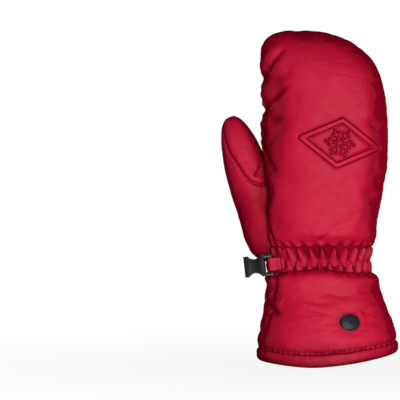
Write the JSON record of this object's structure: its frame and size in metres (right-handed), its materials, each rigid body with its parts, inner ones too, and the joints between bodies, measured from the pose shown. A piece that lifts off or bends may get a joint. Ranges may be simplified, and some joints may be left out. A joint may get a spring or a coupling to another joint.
{
  "type": "ski mitten",
  "caption": "Right-hand padded leather ski mitten with a shirred elastic wrist, a flared gauntlet and half of a side-release clip on a short tab.",
  "frame": {"origin": "middle of the hem's opening, in the plane the hem rests on", "axes": "+Z runs from the hem to the fingertips, -Y faces the back of the hand, +Y the palm, -X is the thumb side"},
  "size_m": [0.1542, 0.0906, 0.29],
  "materials": {
    "red_leather": "soft waxed sheen",
    "padding": "matte fibre batting",
    "membrane": "satin film",
    "fleece": "matte brushed pile",
    "elastic": "matte woven",
    "black_enamel": "gloss",
    "dark_metal": "plain",
    "label_cloth": "matte satin weave",
    "red_thread": "matte twist",
    "black_plastic": "fine satin"
  },
  "bodies": {
    "cuff": {"gauntlet_back": "red_leather", "gauntlet_palm": "red_leather", "gauntlet_padding": "padding", "gauntlet_lining": "fleece", "hem_binding": "red_leather", "badge_plate": "black_enamel", "badge_posts": "dark_metal", "badge_washers": "dark_metal", "size_label": "label_cloth", "wrist_gathers": "red_leather", "wrist_elastic_lower": "elastic", "wrist_elastic_upper": "elastic", "wrist_lining": "fleece", "tab_anchor": "red_leather"},
    "hand": {"back_panel": "red_leather", "palm_panel": "red_leather", "thenar_panel": "red_leather", "back_padding": "padding", "palm_padding": "padding", "thenar_padding": "padding", "hand_membrane": "membrane", "hand_lining": "fleece", "emblem_relief": "red_leather"},
    "fingers": {"finger_back_panel": "red_leather", "finger_palm_panel": "red_leather", "finger_padding": "padding", "finger_membrane": "membrane", "finger_lining": "fleece"},
    "thumb": {"thumb_back_panel": "red_leather", "thumb_side_panel": "red_leather", "thumb_palm_panel": "red_leather", "thumb_padding": "padding", "thumb_membrane": "membrane", "thumb_lining": "fleece"},
    "tab": {"buckle_tab": "red_leather", "tab_stitches": "red_thread"},
    "buckle": {"buckle_socket": "black_plastic"}
  },
  "joints": [
    {"name": "wrist_bend", "type": "hinge", "parent": "cuff", "child": "hand", "pos_m": [-0.0075, 0, 0.091], "axis": [-1, 0, 0], "range_deg": [-15, 35], "stiffness_Nm_per_rad": 1.5, "deforming": ["wrist_gathers", "wrist_elastic_lower", "wrist_elastic_upper", "wrist_lining"]},
    {"name": "finger_curl", "type": "hinge", "parent": "hand", "child": "fingers", "pos_m": [-0.0035, 0, 0.234], "axis": [-1, 0, 0], "range_deg": [0, 50], "stiffness_Nm_per_rad": 0.6},
    {"name": "thumb_swing", "type": "hinge", "parent": "hand", "child": "thumb", "pos_m": [-0.0632, 0.008, 0.14763], "axis": [-0.6914, -0.6914, -0.2094], "range_deg": [0, 35], "stiffness_Nm_per_rad": 0.3},
    {"name": "tab_swing", "type": "hinge", "parent": "cuff", "child": "tab", "pos_m": [-0.04175, -0.0215, 0.0885], "axis": [-0.1107, 0.0235, 0.9936], "range_deg": [0, 60], "stiffness_Nm_per_rad": 0.02},
    {"name": "buckle_swing", "type": "hinge", "parent": "tab", "child": "buckle", "pos_m": [-0.04952, -0.01985, 0.08759], "axis": [-0.1107, 0.0235, 0.9936], "range_deg": [-25, 95]}
  ]
}
